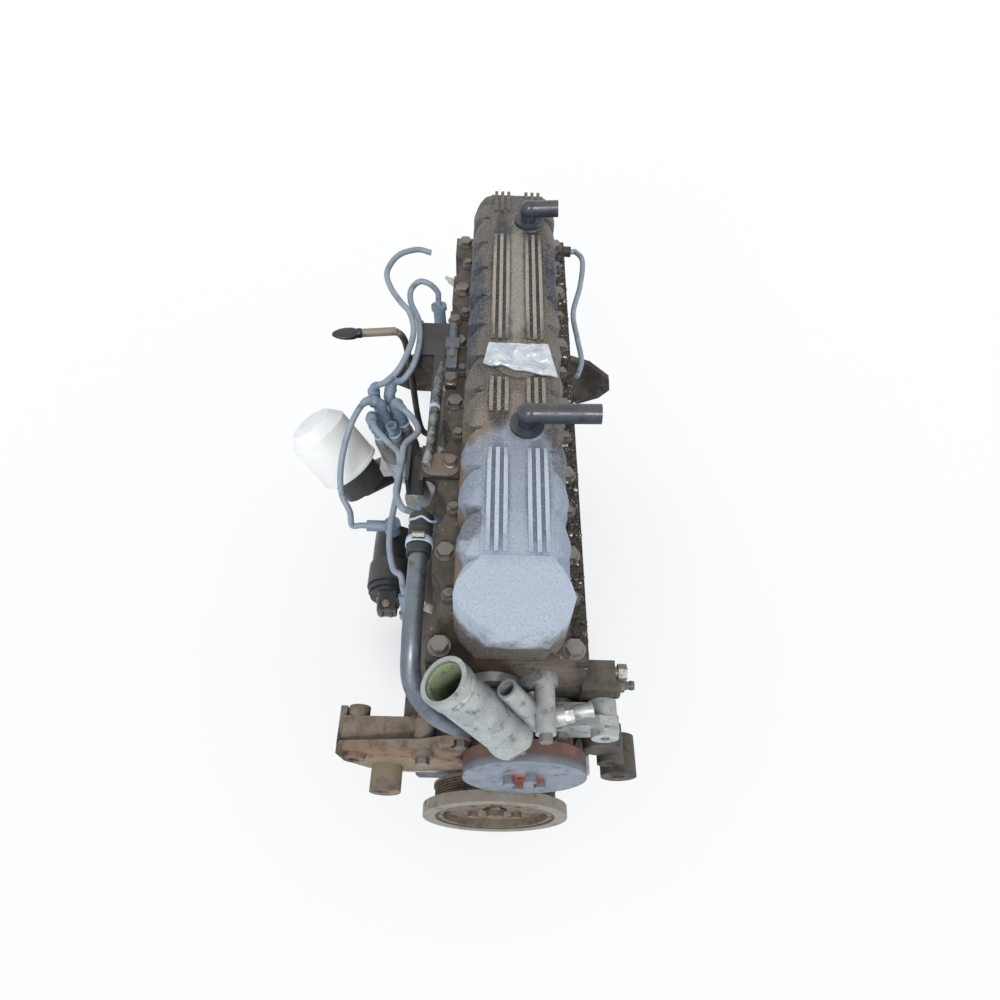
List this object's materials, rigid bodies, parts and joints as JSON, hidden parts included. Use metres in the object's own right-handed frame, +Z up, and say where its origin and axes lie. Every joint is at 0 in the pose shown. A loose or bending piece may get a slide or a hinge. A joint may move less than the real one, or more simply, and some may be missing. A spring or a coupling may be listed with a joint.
{
  "type": "inline-six engine",
  "caption": "Dressed overhead-valve inline-six engine with ribbed valve cover, damper, pumps, distributor, filter and full running gear inside.",
  "frame": {"origin": "centre of the crankshaft's rear flange face", "axes": "+X to the manifold side, +Y along the crankshaft to the rear, +Z up"},
  "size_m": [0.5132, 0.792, 0.6612],
  "materials": {
    "engine_iron": "dusty casting",
    "rusty_iron": "rusted casting",
    "cast_alloy": "dusty casting",
    "steel": "machined",
    "black_steel": "worn black paint",
    "white_paint": "gloss white paint",
    "pulley_paint": "worn blue-grey paint",
    "ceramic": "glazed",
    "black_plastic": "moulded",
    "lead_rubber": "soft, dusty",
    "rubber": "soft",
    "foil": "crinkled foil"
  },
  "bodies": {
    "engine": {"cylinder_block": "engine_iron", "cylinder_head": "engine_iron", "gaskets": "rubber", "valve_cover": "cast_alloy", "bolts": "steel", "oil_pan": "black_steel", "timing_cover": "cast_alloy", "main_bearing_caps": "engine_iron", "spark_plugs": "ceramic", "thermostat_housing": "cast_alloy", "hose_barb": "steel", "water_pump_housing": "rusty_iron", "heater_pipe": "steel", "heater_hose": "rubber", "distributor_housing": "cast_alloy", "distributor_cap": "black_plastic", "oil_filter": "white_paint", "filter_adapter": "black_steel", "dipstick_tube": "black_steel", "ignition_coil": "black_plastic", "sheet_brackets": "black_steel", "accessory_bracket": "rusty_iron", "alternator_bracket": "cast_alloy", "steering_pump_bracket": "engine_iron", "breathers": "black_plastic", "filler_tape": "foil", "plugs_and_seals": "rubber", "rocker_bridges": "steel", "oil_pump_body": "engine_iron", "lead_boots": "lead_rubber", "lead_six": "lead_rubber", "lead_two": "lead_rubber", "lead_coil": "lead_rubber", "lead_front": "lead_rubber", "lead_loose": "lead_rubber", "sensor_lead": "lead_rubber", "connecting_rods": "steel", "timing_chain": "steel", "valve_springs": "steel"},
    "crank": {"crankshaft": "steel", "crank_sprocket": "steel", "damper_hub": "rusty_iron", "damper_ring": "engine_iron", "damper_rubber": "rubber"},
    "cam": {"camshaft": "steel", "cam_sprocket": "steel"},
    "distributor": {"distributor_shaft": "steel"},
    "oil_pump_gear": {"oil_pump_idler": "steel"},
    "water_pump": {"pump_rotor": "steel", "pump_pulley": "pulley_paint"},
    "outer_pistons": {"pistons_1_6": "cast_alloy"},
    "second_pistons": {"pistons_2_5": "cast_alloy"},
    "middle_pistons": {"pistons_3_4": "cast_alloy"},
    "inlet_rocker_set": {"inlet_rockers": "steel"},
    "exhaust_rocker_set": {"exhaust_rockers": "steel"},
    "inlet_valve_set": {"inlet_valves": "steel"},
    "exhaust_valve_set": {"exhaust_valves": "steel"},
    "inlet_pushrod_set": {"inlet_pushrods": "steel"},
    "exhaust_pushrod_set": {"exhaust_pushrods": "steel"},
    "dipstick_blade": {"dipstick": "black_plastic"}
  },
  "joints": [
    {"name": "crank_spin", "type": "hinge", "parent": "engine", "child": "crank", "pos_m": [0, -0.35, 0], "axis": [0, 1, 0], "continuous": true, "deforming": ["connecting_rods", "timing_chain"]},
    {"name": "cam_spin", "type": "hinge", "parent": "engine", "child": "cam", "pos_m": [-0.074, -0.35, 0.0837], "axis": [0, 1, 0], "continuous": true},
    {"name": "distributor_spin", "type": "hinge", "parent": "engine", "child": "distributor", "pos_m": [-0.11704, -0.35, 0.07455], "axis": [-0.2079, 0, 0.9781], "continuous": true},
    {"name": "oil_gear_spin", "type": "hinge", "parent": "engine", "child": "oil_pump_gear", "pos_m": [-0.11704, -0.324, 0.07455], "axis": [-0.2079, 0, 0.9781], "continuous": true},
    {"name": "water_pump_spin", "type": "hinge", "parent": "engine", "child": "water_pump", "pos_m": [0.029, -0.75, 0.166], "axis": [0, 1, 0], "continuous": true},
    {"name": "outer_piston_slide", "type": "slide", "parent": "engine", "child": "outer_pistons", "axis": [0, 0, 1], "range_m": [-0.0867, 0]},
    {"name": "second_piston_slide", "type": "slide", "parent": "engine", "child": "second_pistons", "axis": [0, 0, 1], "range_m": [-0.01708, 0.06962]},
    {"name": "middle_piston_slide", "type": "slide", "parent": "engine", "child": "middle_pistons", "axis": [0, 0, 1], "range_m": [-0.01708, 0.06962]},
    {"name": "inlet_rocker_swing", "type": "hinge", "parent": "engine", "child": "inlet_rocker_set", "pos_m": [-0.01923, 0, 0.37521], "axis": [0, 1, 0], "range_deg": [0, 17]},
    {"name": "exhaust_rocker_swing", "type": "hinge", "parent": "engine", "child": "exhaust_rocker_set", "pos_m": [-0.01923, 0, 0.37521], "axis": [0, 1, 0], "range_deg": [0, 17]},
    {"name": "inlet_valve_slide", "type": "slide", "parent": "engine", "child": "inlet_valve_set", "axis": [0, 0, -1], "range_m": [0, 0.00986], "deforming": ["valve_springs"]},
    {"name": "exhaust_valve_slide", "type": "slide", "parent": "engine", "child": "exhaust_valve_set", "axis": [0, 0, -1], "range_m": [0, 0.00986]},
    {"name": "inlet_pushrod_slide", "type": "slide", "parent": "engine", "child": "inlet_pushrod_set", "axis": [0.1187, 0, 0.9929], "range_m": [0, 0.00632]},
    {"name": "exhaust_pushrod_slide", "type": "slide", "parent": "engine", "child": "exhaust_pushrod_set", "axis": [0.1187, 0, 0.9929], "range_m": [0, 0.00632]},
    {"name": "dipstick_slide", "type": "slide", "parent": "engine", "child": "dipstick_blade", "axis": [-0.954, -0.2707, 0.1289], "range_m": [0, 0.12]}
  ],
  "couplings": [
    {"joint": "cam_spin", "follows": "crank_spin", "ratio": 0.5},
    {"joint": "distributor_spin", "follows": "crank_spin", "ratio": 0.5},
    {"joint": "oil_gear_spin", "follows": "crank_spin", "ratio": -0.5},
    {"joint": "inlet_rocker_swing", "follows": "inlet_pushrod_slide", "rad_per_m": 46.948},
    {"joint": "exhaust_rocker_swing", "follows": "exhaust_pushrod_slide", "rad_per_m": 46.948},
    {"joint": "inlet_valve_slide", "follows": "inlet_pushrod_slide", "ratio": 1.5601},
    {"joint": "exhaust_valve_slide", "follows": "exhaust_pushrod_slide", "ratio": 1.5601}
  ]
}
